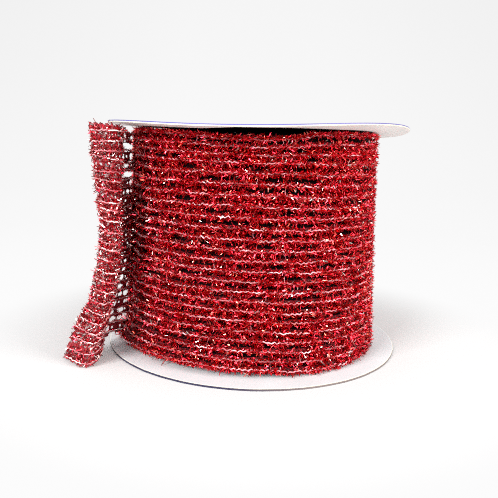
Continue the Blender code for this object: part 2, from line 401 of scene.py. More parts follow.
# Small waves of each row round the roll: their phases drift from row to row
WAVE_COUNTS = np.array([2, 3, 5, 9, 14, 23, 31])
WAVE_HEIGHTS = np.array([0.16, 0.14, 0.12, 0.12, 0.10, 0.09, 0.07])
WAVE_PHASES = rng.uniform(0.0, math.tau, 7) + np.cumsum(rng.normal(0.0, 0.7, (ROW_COUNT, 7)), 0)


def row_height(row, angle):
    """Height of a row's chain: its even place plus seven small waves round the roll."""
    turn = np.radians(angle)[:, None] * WAVE_COUNTS + WAVE_PHASES[row]
    return FIRST_ROW_HEIGHT + row * ROW_PITCH + np.sin(turn) @ WAVE_HEIGHTS


def unit(vectors):
    """Vectors scaled to length 1."""
    return vectors / np.linalg.norm(vectors, axis=-1, keepdims=True)


def film_strips(root, way, length, width, lines):
    """Film strips as arrays of points, quads and map values, with 2 or 3 cross lines a strip.

    The middle line is root + length * (t * way + t^2 * curl * side), and the strip's width
    lies across it, narrower and turned by a twist as t grows.
    """
    count = len(root)
    side = unit(np.cross(way, rng.normal(size=(count, 3))))
    flat = np.cross(way, side)
    curl = rng.uniform(*STRIP_CURL, (count, 1))
    twist = rng.uniform(-STRIP_TWIST, STRIP_TWIST, count)
    points = np.empty((count, lines, 2, 3))
    for line, t in enumerate(np.linspace(0.0, 1.0, lines)):
        middle = root + length[:, None] * (t * way + t * t * curl * side)
        turn = (twist * t)[:, None]
        across = np.cos(turn) * flat + np.sin(turn) * side
        half = 0.5 * width[:, None] * (1.0 - STRIP_TAPER * t)
        points[:, line, 0] = middle - half * across
        points[:, line, 1] = middle + half * across
    first = 2 * np.arange(lines - 1)[:, None]
    corner = first + np.array([0, 1, 3, 2])
    quads = (corner[None] + 2 * lines * np.arange(count)[:, None, None]).reshape(-1, 4)
    cell = rng.integers(0, CELLS, (count, 1, 1, 2))
    up = np.repeat(np.linspace(*CELL_ALONG, lines), 2)
    spot = np.stack([np.tile(CELL_ACROSS, lines), up], -1)
    uv = (cell + spot[corner][None]) / CELLS
    return points.reshape(-1, 3), quads, uv.reshape(-1, 2)


def round_ways(angle, out, along, up):
    """Directions on the roll, of unit length, from their outward, round and upward parts."""
    turn = np.radians(angle)
    x = out * np.cos(turn) - along * np.sin(turn)
    y = out * np.sin(turn) + along * np.cos(turn)
    return unit(np.stack([x, y, up], -1))


def keep_between_flanges(points):
    """Points held clear of both flanges: above the lower one, under the bent upper one."""
    radius = np.hypot(points[:, 0], points[:, 1])
    angle = np.degrees(np.arctan2(points[:, 1], points[:, 0]))
    ceiling = BOARD_THICKNESS + INNER_HEIGHT + rim_bend(radius, angle) - board_dish(radius, angle)
    floor = BOARD_THICKNESS + CLEAR_OF_FLANGE
    points[:, 2] = np.clip(points[:, 2], floor, ceiling - CLEAR_OF_FLANGE)
    return points


def dash_table():
    """Where the open meshes are: one row of middles, half lengths and states per gap."""
    shape = (ROW_COUNT, DASH_COUNT)
    step = 360.0 / DASH_COUNT
    stagger = 0.5 * (np.arange(ROW_COUNT)[:, None] % 2)
    middle = (np.arange(DASH_COUNT) + stagger + rng.uniform(-DASH_JITTER, DASH_JITTER, shape)) * step
    half = rng.uniform(*DASH_HALF_LONG, shape)
    shut_share = np.where(np.arange(ROW_COUNT) >= HIGH_ROWS, SHUT_SHARE_HIGH, SHUT_SHARE)[:, None]
    shut = rng.uniform(size=shape) < shut_share
    return middle, half, shut


DASH_PLACE, DASH_HALF, DASH_SHUT = dash_table()


def inside_dash(gap, angle, part):
    """Whether a place is inside an open mesh; part is its share of the way to the next row."""
    step = 360.0 / DASH_COUNT
    number = np.floor(angle / step - 0.5 * (gap % 2) + 0.5).astype(int)
    place = DASH_PLACE[gap, number % DASH_COUNT]
    along = np.radians(off_angle(angle, place)) * RADIUS_LOW / DASH_HALF[gap, number % DASH_COUNT]
    level = (part - DASH_MIDDLE) / DASH_HALF_HIGH
    return (along ** 4 + level ** 4 < 1.0) & ~DASH_SHUT[gap, number % DASH_COUNT]


def in_window(row, angle):
    """Whether a place is in an open window between two rows of the loose outer layer."""
    return (np.abs(angle - LOOSE_ANGLE) < WINDOW_HALF_WIDTH) & (row in WINDOW_GAPS)


def left_out_between(row, angle):
    """Chance that a strip between the rows is left out: two bells of the angle, or 1 in a window."""
    chance = LOOSE_SHARE * bell(angle - LOOSE_ANGLE, LOOSE_HALF_WIDTH)
    chance = chance + LEAVING_SHARE * bell(angle - LEAVING_ANGLE, LEAVING_HALF_WIDTH)
    return np.where(in_window(row, angle), 1.0, chance)


def left_out_anywhere(row, angle):
    """Chance that any strip is left out: a bell of the angle, and at least a share at the top."""
    chance = SPARSE_SHARE * bell(angle - SPARSE_ANGLE, SPARSE_HALF_WIDTH)
    if row >= ROW_COUNT - TOP_SPARSE_ROWS:
        chance = np.maximum(chance, TOP_SPARSE_SHARE)
    return chance


def row_film(row, kind):
    """Roots and ways of strips from a row up to the next, but for those in open meshes.

    The roots lie deepest half way between two rows, by the square of a sine. Half of the
    strips stand close to the chain. Past the last row there is hardly any film.
    """
    count = kind["per_row"]
    last = row == LAST_ROW
    angle = rng.uniform(-180.0, 180.0, count)
    part = rng.uniform(*ROOT_RANGE, count)
    close = rng.uniform(size=count) < CLOSE_SHARE
    part = np.where(close, rng.normal(0.0, CLOSE_SPREAD, count), part)
    if last:
        part = np.minimum(np.abs(part), LAST_ROW_PART)
    between = (part > BETWEEN_ROWS[0]) & (part < BETWEEN_ROWS[1])
    thinned = between & (rng.uniform(size=count) < left_out_between(row, angle))
    kept = ~inside_dash(row, angle, part) & ~thinned
    kept = kept & (rng.uniform(size=count) > left_out_anywhere(row, angle))
    angle, part = angle[kept], part[kept]
    here = row_height(row, angle)
    pitch = ROW_PITCH if last else row_height(row + 1, angle) - here
    depth = kind["start"] + ROOT_RISE - VALLEY_DEPTH * np.sin(math.pi * np.clip(part, 0.0, 1.0)) ** 2
    root = wound_point(angle, here + part * pitch, depth - rng.uniform(0.0, ROOT_DEPTH, len(angle)))
    out = rng.uniform(0.0, kind["lean"], len(angle))
    along = rng.normal(0.0, STRIP_ALONG, len(angle))
    up = rng.normal(*STRIP_UP, len(angle))
    if last:
        up = np.minimum(up, LAST_ROW_UP)
    way = unit(np.stack([out, along, up], -1))
    tip_angle = angle + np.degrees(DASH_CLEAR_OF_TIPS * way[:, 1] / RADIUS_LOW)
    tip_part = part + DASH_CLEAR_OF_TIPS * way[:, 2] / ROW_PITCH
    crossing = in_window(row, angle) & (tip_part > WINDOW_RANGE[0]) & (tip_part < WINDOW_RANGE[1])
    clear = ~inside_dash(row, tip_angle, tip_part) & ~crossing
    return root[clear], round_ways(angle[clear], *way[clear].T)


def deep_film(row):
    """The film of the layer beneath, seen through the open meshes, but not in the windows."""
    angle = rng.uniform(-180.0, 180.0, DEEP_PER_ROW)
    height = FIRST_ROW_HEIGHT + ROW_PITCH * (row + rng.uniform(-0.5, 0.5, DEEP_PER_ROW))
    kept = np.abs(angle - LOOSE_ANGLE) > WINDOW_HALF_WIDTH
    angle, height = angle[kept], height[kept]
    count = len(angle)
    root = wound_point(angle, np.maximum(height, LOWEST), rng.uniform(*DEEP_OUT, count))
    farthest, round_spread, up_spread = DEEP_WAYS
    out = rng.uniform(0.0, farthest, count)
    along = rng.normal(0.0, round_spread, count)
    up = rng.normal(0.0, up_spread, count)
    return root, round_ways(angle, out, along, up)


def edge_fringe(row, direction):
    """The film that stands past the first or last row, down to the flange or up under it.

    At the foot it draws in, by a share of how far it stands past the row.
    """
    farthest = FRINGE_PAST_TOP if direction > 0.0 else FRINGE_PAST_FOOT
    angle = rng.uniform(-180.0, 180.0, FRINGE_PER_EDGE)
    past = rng.uniform(0.0, farthest, FRINGE_PER_EDGE)
    height = np.clip(row_height(row, angle) + direction * past, LOWEST, INNER_HEIGHT + FRINGE_ABOVE)
    nearest, deeper = FRINGE_ROOT
    out = nearest - FRINGE_DRAW_IN * past * (direction < 0.0)
    out = out - rng.uniform(0.0, deeper, FRINGE_PER_EDGE)
    root = wound_point(angle, height, out)
    away = rng.uniform(*FRINGE_AWAY, FRINGE_PER_EDGE)
    along = rng.normal(0.0, FRINGE_ALONG, FRINGE_PER_EDGE)
    up = direction * rng.uniform(*FRINGE_UP, FRINGE_PER_EDGE)
    return root, round_ways(angle, away, along, up)


def make_roll_film(material):
    """All the film of the wound ribbon, in bands of rows so that each stays a light piece."""
    rows_in_band = ROW_COUNT // FILM_BANDS
    for band in range(FILM_BANDS):
        curled, flat = [], []
        for row in range(band * rows_in_band, (band + 1) * rows_in_band):
            curled.append(row_film(row, CURLED))
            flat.append(row_film(row, FLAT))
            flat.append(deep_film(row))
        if band == 0:
            flat.append(edge_fringe(0, -1.0))
        if band == FILM_BANDS - 1:
            flat.append(edge_fringe(LAST_ROW, 1.0))
        parts, maps = [], []
        for group, kind in ((curled, CURLED), (flat, FLAT)):
            root, way = (np.concatenate(part) for part in zip(*group))
            length = rng.uniform(*kind["length"], len(root))
            width = STRIP_WIDTH * rng.uniform(*WIDTH_SHARES, len(root))
            points, quads, uv = film_strips(root, way, length, width, kind["lines"])
            parts.append((points, quads))
            maps.append(uv)
        points, quads = join_parts(parts)
        uv = np.concatenate(maps)
        mesh_piece(f"ribbon_film_{band + 1}", keep_between_flanges(points), quads, uv, material, False)


def tube_along(path, across, radius, closed):
    """Three-sided thread along a path of points: a triangle of the radius round each point.

    across is one direction square to the path; the other is their cross product.
    """
    count, sides = len(path), len(THREAD_CORNERS)
    ahead = np.roll(path, -1, 0) - np.roll(path, 1, 0)
    if not closed:
        ahead[0] = path[1] - path[0]
        ahead[-1] = path[-1] - path[-2]
    other = unit(np.cross(unit(ahead), across))
    ring = [np.cos(turn) * across + np.sin(turn) * other for turn in np.radians(THREAD_CORNERS)]
    points = path[:, None] + radius * np.stack(ring, 1)
    here = np.arange(count if closed else count - 1) * sides
    there = (here + sides) % (count * sides)
    quads = [
        np.stack([here + k, there + k, there + (k + 1) % sides, here + (k + 1) % sides], -1)
        for k in range(sides)
    ]
    return points.reshape(-1, 3), np.concatenate(quads)


def thread_map(face_count, faces_per_cell=6):
    """Map values of a thread: each run of faces takes its shade from one colour cell."""
    chosen = rng.integers(0, CELLS, (face_count // faces_per_cell + 1, 2))
    cell = np.repeat(chosen, faces_per_cell, 0)[:face_count, None]
    spot = np.array([[0.2, 0.2], [0.8, 0.2], [0.8, 0.8], [0.2, 0.8]])
    return ((cell + spot[None]) / CELLS).reshape(-1, 2)


def join_parts(parts):
    """Several arrays of points and quads as one, with the quads' numbers moved on."""
    start, points, quads = 0, [], []
    for part_points, part_quads in parts:
        points.append(part_points)
        quads.append(part_quads + start)
        start += len(part_points)
    return np.concatenate(points), np.concatenate(quads)


def make_roll_chain(material):
    """The chain of thread on each row, and the cross threads that tie the rows together.

    The chain swings up and down by half a stitch at a time, and slow waves sink it into the
    film and lift it out again. A cross thread hangs in a shallow arc from a row to the next.
    """
    parts = []
    for row in range(ROW_COUNT):
        stitches = int(math.tau * RADIUS_LOW / STITCH_LENGTH)
        step = np.arange(stitches * 2)
        angle = (step + rng.uniform(-STEP_JITTER, STEP_JITTER, len(step))) * 360.0 / len(step) - 180.0
        swing = STITCH_SWING * (-1.0) ** step * rng.uniform(*SWING_SHARES, len(step))
        swing = swing + rng.normal(0.0, SWING_JITTER, len(step))
        turn = np.radians(angle)[:, None] * np.array(CHAIN_WAVES)
        turn = turn + rng.uniform(0.0, math.tau, len(CHAIN_WAVES))
        sunk = np.interp(row, CHAIN_SUNK_AT, CHAIN_SUNK)
        out = CHAIN_WAVE_SIZE * np.sin(turn).sum(1) + rng.normal(0.0, CHAIN_JITTER, len(step)) - sunk
        path = wound_point(angle, row_height(row, angle) + swing, out)
        across = np.tile([0.0, 0.0, 1.0], (len(path), 1))
        parts.append(tube_along(path, across, THREAD_RADIUS, True))
    part = np.linspace(0.0, 1.0, TIE_POINTS)
    for row in range(LAST_ROW):
        for place in rng.uniform(-180.0, 180.0, TIES_PER_ROW):
            angle = place + rng.normal(0.0, TIE_JITTER, TIE_POINTS) + rng.normal(0.0, TIE_LEAN) * part
            height = row_height(row, angle) * (1.0 - part) + row_height(row + 1, angle) * part
            out = -TIE_DEPTH - TIE_SAG * np.sin(math.pi * part) + rng.normal(0.0, TIE_STRAY, TIE_POINTS)
            turn = np.radians(angle)
            across = np.stack([-np.sin(turn), np.cos(turn), np.zeros(TIE_POINTS)], -1)
            parts.append(tube_along(wound_point(angle, height, out), across, TIE_RADIUS, False))
    points, quads = join_parts(parts)
    uv = thread_map(len(quads))
    return mesh_piece("ribbon_chain", keep_between_flanges(points), quads, uv, material)


# Profile of the fused roots: how far up from the chain and out from the crests, and a ripple
CORE_STEPS = 150
CORE_UP = (-0.95, -0.55, 0.0, 0.55, 0.95)
CORE_OUT = (-2.6, -1.7, -1.4, -1.7, -2.6)
CORE_RIPPLE = (29.0, 0.15)


def make_row_cores(material):
    """The fused roots of the film along each row: a low band, bent back at both edges."""
    up, out = np.array(CORE_UP)[:, None], np.array(CORE_OUT)[:, None]
    angle = np.arange(CORE_STEPS) * 360.0 / CORE_STEPS - 180.0
    quads = ring_quads(len(CORE_UP) - 1, CORE_STEPS)[0]
    count, size = CORE_RIPPLE
    parts = []
    for row in range(ROW_COUNT):
        height = np.maximum(row_height(row, angle)[None] + up, LOWEST)
        reach = out + size * np.sin(np.radians(angle) * count + row)[None]
        points = wound_point(np.broadcast_to(angle[None], height.shape), height, reach)
        parts.append((points.reshape(-1, 3), quads))
    points, quads = join_parts(parts)
    uv = thread_map(len(quads), 1)
    return mesh_piece("ribbon_cores", keep_between_flanges(points), quads, uv, material)


# Layers beneath: how deep they lie, how far they fall between the rows, and where they close
UNDER_STEPS = 180
UNDER_DEPTH = 3.6
UNDER_RELIEF = 0.6
UNDER_RANGE = (0.9, 101.3)
UNDER_FOOT = (0.4, (0.1 - RADIUS_LOW, -30.0, -4.5))
UNDER_TOP = (101.5, (-4.5, -27.0, 0.1 - RADIUS_HIGH))


def make_under_layers(material):
    """The wound layers behind the outer film: the roll's form, lower between the rows.

    Out from the crests is minus the depth plus the relief times a cosine that falls between
    the rows, and the profile closes to the axis under both flanges.
    """
    lines = np.linspace(*UNDER_RANGE, ROW_COUNT * 3 + 1)
    out = UNDER_RELIEF * np.cos(math.tau * (lines - FIRST_ROW_HEIGHT) / ROW_PITCH) - UNDER_DEPTH
    (foot, foot_reach), (top, top_reach) = UNDER_FOOT, UNDER_TOP
    height = np.concatenate([[foot] * 3, lines, [top] * 3])
    reach = np.concatenate([foot_reach, out, top_reach])
    angle = np.arange(UNDER_STEPS) * 360.0 / UNDER_STEPS - 180.0
    h, a = np.meshgrid(height, angle, indexing="ij")
    points = wound_point(a, h, np.broadcast_to(reach[:, None], h.shape)).reshape(-1, 3)
    last = len(height) - 1
    quads, line, column = ring_quads(last, UNDER_STEPS)
    uv = cell_map(column, UNDER_STEPS, line / last, (line + 1) / last)
    piece = mesh_piece("ribbon_under", keep_between_flanges(points), quads, uv, material)
    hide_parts("ribbon_roll")
    return piece


def smooth_through(knots, values, at):
    """Smooth curve through values at knots, each row of an array by itself.

    Between two knots it is a cubic whose slope at a knot is the rise between that knot's
    neighbours over their distance.
    """
    last = knots.shape[1] - 1
    low = np.maximum(np.arange(last + 1) - 1, 0)
    high = np.minimum(np.arange(last + 1) + 1, last)
    slope = (values[:, high] - values[:, low]) / (knots[:, high] - knots[:, low])[..., None]
    index = np.clip((at[..., None] > knots[:, None, 1:last]).sum(-1), 0, last - 1)

    def pick(array, offset):
        return np.take_along_axis(array, (index + offset)[..., None], 1)

    start = np.take_along_axis(knots, index, 1)
    width = np.take_along_axis(knots, index + 1, 1) - start
    t = ((at - start) / width)[..., None]
    width = width[..., None]
    value = pick(values, 0) * (2 * t ** 3 - 3 * t ** 2 + 1) + pick(values, 1) * (3 * t ** 2 - 2 * t ** 3)
    return value + width * (pick(slope, 0) * (t ** 3 - 2 * t ** 2 + t) + pick(slope, 1) * (t ** 3 - t ** 2))


# Grid of the loose end: lines over its width, and columns between the points of its plan.
# A station counts those points: 3 is the last one on the roll, 4 the turn off it
TAIL_LINES = 193
TAIL_SPANS = (5, 5, 5, 30, 16, 14, 26)
TAIL_COLUMNS = sum(TAIL_SPANS) + 1
LAST_ON_ROLL = 3.0
TURN_INDEX = 4
OUTER_FOLD = 4.8


def tail_grid():
    """The loose end's middle surface on a grid, its normals, and lengths along it.

    Across, each plan point follows a smooth curve over the width; along, the sheet follows
    a smooth curve through its eight plan points, with the columns closest where it is open.
    Lengths are counted from the root, and once more from the turn off the roll.
    """
    share = np.linspace(0.0, 1.0, TAIL_LINES)
    height = TAIL_LOWER[0] + share * (TAIL_UPPER[0] - TAIL_LOWER[0])
    reach = crest_radius(height) + TAIL_ROOT_REACH
    plan = []
    for angle in TAIL_ROOT_ANGLES:
        turn = math.radians(angle)
        far = reach + spiral_growth(angle)
        plan.append(np.stack([far * math.cos(turn) + ROLL_SHIFT_X, far * math.sin(turn)], -1))
    knots = np.array(TAIL_HEIGHTS)[None]
    for outline in (TAIL_TURN, TAIL_SIDE, TAIL_NOSE, TAIL_END):
        plan.append(smooth_through(knots, np.array(outline)[None], share[None])[0])
    plan = np.stack(plan, 1)
    steps = np.linalg.norm(np.diff(plan, axis=1), axis=-1)
    knots = np.concatenate([np.zeros((TAIL_LINES, 1)), np.cumsum(steps, 1)], 1)
    stops = np.concatenate([[0], np.cumsum(TAIL_SPANS)])
    station = np.interp(np.arange(TAIL_COLUMNS), stops, np.arange(len(stops)))
    span = np.minimum(station.astype(int), len(TAIL_SPANS) - 1)
    at = knots[:, span] + (station - span) * (knots[:, span + 1] - knots[:, span])
    place = smooth_through(knots, plan, at)
    edges = np.stack([TAIL_LOWER, TAIL_UPPER], -1)[None].repeat(TAIL_LINES, 0)
    edge = smooth_through(knots, edges, at)
    z = BOARD_THICKNESS + edge[..., 0] + share[:, None] * (edge[..., 1] - edge[..., 0])
    grid = np.concatenate([place, z[..., None]], -1)
    along = unit(np.gradient(grid, axis=1))
    across = unit(np.gradient(grid, axis=0))
    tail = {
        "grid": grid, "along": along, "across": across, "normal": unit(np.cross(along, across)),
        "length": at, "from_turn": at - knots[:, TURN_INDEX:TURN_INDEX + 1],
        "station": np.broadcast_to(station, at.shape),
    }
    return tail


def read_grid(grid, line, column):
    """Values of a grid between its lines and columns: the nearest four, the nearer the heavier."""
    i = np.clip(line.astype(int), 0, grid.shape[0] - 2)
    j = np.clip(column.astype(int), 0, grid.shape[1] - 2)
    a, b = (line - i), (column - j)
    if grid.ndim == 3:
        a, b = a[..., None], b[..., None]
    top = grid[i, j] * (1 - b) + grid[i, j + 1] * b
    low = grid[i + 1, j] * (1 - b) + grid[i + 1, j + 1] * b
    return top * (1 - a) + low * a


# Open meshes of the loose end: middles before and after its turn off the roll, half
# lengths, and how open they are at shares of the width, from the lower edge
HOLE_MIDDLES = (-13.9, -9.9, -5.9, -1.9, 2.6, 6.9, 11.2)
HOLE_HALF_LONG = 1.75
HOLE_HALF_HIGH = 1.5
OPEN_AT = (0.0, 0.3, 0.4, 0.68, 0.76, 1.0)
OPEN_SHARE = (1.0, 0.9, 0.42, 0.38, 1.1, 1.25)
SPECK_PERIOD = 3.4
SPECK_HALF = (0.75, 0.5)
NO_HOLE = -9.0

# From row to row the meshes move by two sines and the specks by one: each sine's size, in mm
# or as a share of the specks' period, and its step in radians
MESH_WANDER = ((0.9, 2.4), (0.7, 5.3))
SPECK_WANDER = (0.3, 3.7)
HOLE_MOVES = rng.normal(0.0, 0.8, (ROW_COUNT + 1, len(HOLE_MIDDLES)))
HOLE_SIZES = rng.choice((0.3, 0.75, 1.0, 1.15), (ROW_COUNT + 1, len(HOLE_MIDDLES)))

# Film of the loose end: its lengths, and their share where the rows have no bulk; how far its
# roots stand off the net and its tips lean out, and its spreads along and across; and between
# which values of hole_share it ends at an open mesh. Then how full it is at shares of the width
TAIL_FILM_PER_ROW = 3500
TAIL_FILM_LENGTH = (0.7, 1.9)
FLAT_LENGTH_SHARE = 0.65
TAIL_FILM_OUT = 0.6
TAIL_FILM_ALONG = 0.7
TAIL_FILM_ACROSS = 0.6
INTO_HOLE = (-0.4, 0.2)
SHEER_AT = (0.0, 0.12, 0.3, 0.42, 0.66, 0.75, 1.0)
SHEER_SHARE = (0.55, 0.7, 1.0, 1.7, 1.7, 1.0, 0.75)

# At the points of the loose end's plan: how full its film is, how far the rows stand out
# from the net, and how far the film spreads from its row, as a share of the pitch
PLAN_POINTS = np.arange(8)
FULL_FILM = (1.0, 1.0, 1.0, 0.65, 0.4, 0.6, 1.0, 1.0)
ROW_BULK = (0.8, 0.8, 0.7, 0.35, 0.25, 0.5, 1.0, 0.9)
FILM_SPREAD = (0.2, 0.2, 0.18, 0.17, 0.14, 0.16, 0.26, 0.26)

# The net's bulge in mm at full bulk, the swings of its chains and how uneven they and their
# distance from the net are, and how far past the rim a point still counts as between the flanges
NET_BULGE = 0.4
TAIL_SWING = 0.15
TAIL_SWING_JITTER = 0.1
TAIL_LIFT_JITTER = 0.12
NEAR_RIM = 2.0

# How far each row strays on the outer fold, and how it leans there, about a station and over
# so many more: the nine highest listed one by one
LEAN_ABOUT = 5.5
LEAN_OVER = 1.5
ROW_JUMP = rng.normal(0.0, 0.4, ROW_COUNT)
HIGH_LEANS = (1.0, -0.3, 0.2, 0.3, -0.4, 1.5, -1.2, -2.1, -0.8)
ROW_LEAN = np.concatenate([rng.normal(0.0, 0.5, ROW_COUNT - len(HIGH_LEANS)), HIGH_LEANS])


def hole_share(share, from_turn, station):
    """How open the net is at a place: above 0 inside an open mesh, and less outside.

    The large meshes are rounded boxes between the rows, in columns along the part that
    leaves the roll. The outer fold has only specks, staggered from row to row.
    """
    gap = share * ROW_COUNT
    number = np.round(gap).astype(int)
    level = (gap - number) * TAIL_WIDTH / ROW_COUNT
    open_share = np.interp(share, OPEN_AT, OPEN_SHARE)
    place = from_turn
    for size, step in MESH_WANDER:
        place = place + size * np.sin(number * step)
    best = np.full(np.broadcast(share, from_turn).shape, NO_HOLE)
    for index, middle in enumerate(HOLE_MIDDLES):
        size = open_share * HOLE_SIZES[number, index]
        along = (place - middle - HOLE_MOVES[number, index]) / (HOLE_HALF_LONG * size)
        high = level / (HOLE_HALF_HIGH * size)
        best = np.maximum(best, 1.0 - np.abs(along) ** 3 - np.abs(high) ** 3)
    phase = from_turn / SPECK_PERIOD + 0.5 * (number % 2)
    phase = phase + SPECK_WANDER[0] * np.sin(number * SPECK_WANDER[1])
    near = (phase - np.round(phase)) * SPECK_PERIOD
    speck = 1.0 - (near / SPECK_HALF[0]) ** 2 - (level / SPECK_HALF[1]) ** 2
    return np.maximum(best, np.where(station > OUTER_FOLD, speck, NO_HOLE))


def row_wander(row, station):
    """How far a row strays from its even place, in mm: a jump, and a lean towards the cut end."""
    lean = ROW_LEAN[row] * (station - LEAN_ABOUT) / LEAN_OVER
    return (ROW_JUMP[row] + lean) * np.clip(station - LAST_ON_ROLL, 0.0, 1.0)


def make_tail_net(material, tail):
    """The loose end's own cloth: a net with open meshes, its rows bulging to both sides.

    The bulge is a cosine over each row, and every other row bulges to the other face.
    """
    share = np.linspace(0.0, 1.0, TAIL_LINES)[:, None]
    bulk = np.interp(tail["station"], PLAN_POINTS, ROW_BULK)
    bulge = NET_BULGE * bulk * np.cos(math.tau * (share * ROW_COUNT - 0.5))
    points = tail["grid"] + tail["normal"] * (bulge * (-1.0) ** np.floor(share * ROW_COUNT))[..., None]
    lines, columns = TAIL_LINES - 1, TAIL_COLUMNS - 1
    line, column = np.meshgrid(np.arange(lines), np.arange(columns), indexing="ij")
    between = 0.5 * (tail["from_turn"][:-1, :-1] + tail["from_turn"][:-1, 1:])
    kept = hole_share((line + 0.5) / lines, between, tail["station"][:-1, :-1]) < 0.0
    line, column = line[kept], column[kept]
    first = line * TAIL_COLUMNS + column
    quads = np.stack([first, first + 1, first + TAIL_COLUMNS + 1, first + TAIL_COLUMNS], -1)
    uv = cell_map(column, columns, line / lines, (line + 1) / lines)
    piece = mesh_piece("tail_net", points.reshape(-1, 3), quads, uv, material)
    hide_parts("ribbon_tail")
    return piece


def tail_column(tail, length):
    """The grid's column at lengths from the root, taken from the mean of all its lines."""
    return np.interp(length, tail["length"].mean(0), np.arange(TAIL_COLUMNS))


def make_tail_film(wound_material, painted_light_material, tail):
    """The film of the loose end: strips on both faces of each row, few where it is open.

    Up to where it leaves the roll its film has the shades of the wound rows; past that, a paler copy with
    painted light.
    """
    row = np.repeat(np.arange(ROW_COUNT), TAIL_FILM_PER_ROW)
    count = len(row)
    total = tail["length"].mean(0)[-1]
    column = np.minimum(tail_column(tail, rng.uniform(0.0, total, count)), TAIL_COLUMNS - 1.001)
    station = np.interp(column, np.arange(TAIL_COLUMNS), tail["station"][0])
    spread = rng.normal(0.0, 1.0, count) * np.interp(station, PLAN_POINTS, FILM_SPREAD)
    strayed = row_wander(row, station) * ROW_COUNT / TAIL_WIDTH
    share = np.clip((row + 0.5 + spread + strayed) / ROW_COUNT, 0.0, 1.0)
    line = share * (TAIL_LINES - 1)
    full = np.interp(station, PLAN_POINTS, FULL_FILM) * np.interp(share, SHEER_AT, SHEER_SHARE)
    hole = hole_share(share, read_grid(tail["from_turn"], line, column), station)
    kept = (hole < rng.uniform(*INTO_HOLE, count)) & (rng.uniform(size=count) < full)
    line, column, station = line[kept], column[kept], station[kept]
    bulk = np.interp(station, PLAN_POINTS, ROW_BULK)
    count = len(line)
    face = rng.choice([-1.0, 1.0], count)
    out = read_grid(tail["normal"], line, column)
    lift = face * bulk * rng.uniform(0.0, TAIL_FILM_OUT, count)
    root = read_grid(tail["grid"], line, column) + out * lift[:, None]
    way = out * (face * bulk * rng.uniform(0.0, TAIL_FILM_OUT, count))[:, None]
    way = way + read_grid(tail["along"], line, column) * rng.normal(0.0, TAIL_FILM_ALONG, count)[:, None]
    sideways = bulk * rng.normal(0.0, TAIL_FILM_ACROSS, count)
    way = way + read_grid(tail["across"], line, column) * sideways[:, None]
    size = rng.uniform(*TAIL_FILM_LENGTH, count) * (FLAT_LENGTH_SHARE + (1.0 - FLAT_LENGTH_SHARE) * bulk)
    width = STRIP_WIDTH * rng.uniform(*WIDTH_SHARES, count)
    on_roll = station < LAST_ON_ROLL
    pieces = []
    for name, part, film in (
        ("tail_film_at_roll", on_roll, wound_material), ("tail_film", ~on_roll, painted_light_material),
    ):
        points, quads, uv = film_strips(root[part], unit(way[part]), size[part], width[part], 2)
        pieces.append(mesh_piece(name, clear_of_spool(points), quads, uv, film, False))
    return pieces


def clear_of_spool(points):
    """Points of the loose end held off the floor, and between the flanges where it is near."""
    near = np.hypot(points[:, 0], points[:, 1]) < FLANGE_RADIUS + NEAR_RIM
    points[near] = keep_between_flanges(points[near])
    points[:, 2] = np.maximum(points[:, 2], LOWEST)
    return points


def make_tail_chain(material, tail):
    """The loose end's chains of thread, two on each row, one on each face, in swings."""
    parts = []
    total = tail["length"].mean(0)[-1]
    for row in range(ROW_COUNT):
        for face in (-1.0, 1.0):
            step = np.arange(int(total / STITCH_LENGTH) * 2)
            column = tail_column(tail, step * total / len(step))
            station = np.interp(column, np.arange(TAIL_COLUMNS), tail["station"][0])
            bulk = np.interp(station, PLAN_POINTS, ROW_BULK)
            line = np.full(len(step), (row + 0.5) / ROW_COUNT * (TAIL_LINES - 1))
            up = read_grid(tail["across"], line, column)
            out = read_grid(tail["normal"], line, column)
            swing = TAIL_SWING * (-1.0) ** step + rng.normal(0.0, TAIL_SWING_JITTER, len(step))
            swing = swing + row_wander(row, station)
            lift = face * bulk * (1.0 + rng.normal(0.0, TAIL_LIFT_JITTER, len(step)))
            path = read_grid(tail["grid"], line, column) + up * swing[:, None] + out * lift[:, None]
            parts.append(tube_along(path, unit(up), LOOSE_THREAD_RADIUS, False))
    points, quads = join_parts(parts)
    return mesh_piece("tail_chain", clear_of_spool(points), quads, thread_map(len(quads)), material)


# Shades of the film and of the thread, by chance: on the roll and on the loose end
# The palest few film shades are painted glints
FILM_SHADES_WITH_PAINTED_GLINTS = (
    (0.0, "C40C20"), (0.3, "EC2436"), (0.7, "FC4050"),
    (0.92, "FF6850"), (0.965, "FF9A8E"), (0.98, "FFF2E6"),
)
# The loose end's film is a paler copy: painted light on the lit sheet, with more painted glints
LOOSE_FILM_PAINTED_LIGHT_SHADES = (
    (0.0, "B00A20"), (0.22, "DC2038"), (0.46, "F43A48"),
    (0.6, "FF7C7C"), (0.71, "FFBCB8"), (0.8, "FFF4F2"),
)
# Thread shades: pink to red is the film's red reflection painted on pale thread, and the darker reds paint
# shade
WOUND_THREAD_PAINTED_LIGHT = ((0.0, "841422"), (0.4, "B8404E"), (0.75, "DC808C"), (1.0, "F8CCD2"))
# The loose end's thread shades are a paler copy, with painted light
LOOSE_THREAD = ((0.0, "B04450"), (0.35, "D88890"), (0.75, "F0C0C0"), (1.0, "FFE8E6"))

# Shades that follow a grain: film packed beneath, near black as painted shade; crushed at its roots; and in
# the net
# Painted shade: the packed film beneath is near black
PACKED_PAINTED_SHADES = ((0.35, "040001"), (0.55, "0C0103"), (0.75, "2A030A"))
# At the roots the darker red is partly painted shade among the strips
CORE_PAINTED_SHADES = ((0.35, "2A040A"), (0.5, "600A16"), (0.68, "981422"))
NET_SHADES = ((0.35, "40060E"), (0.5, "7A0F1C"), (0.68, "AC1A2A"))

# Sizes of those grains in mm, and how dark a strip is painted at its root: painted shade
PACKED_GRAIN = 10.0 / 9.0
CRUSHED_GRAIN = 2.0 / 3.0
STRIP_ROOT_PAINTED_SHADE = 0.7


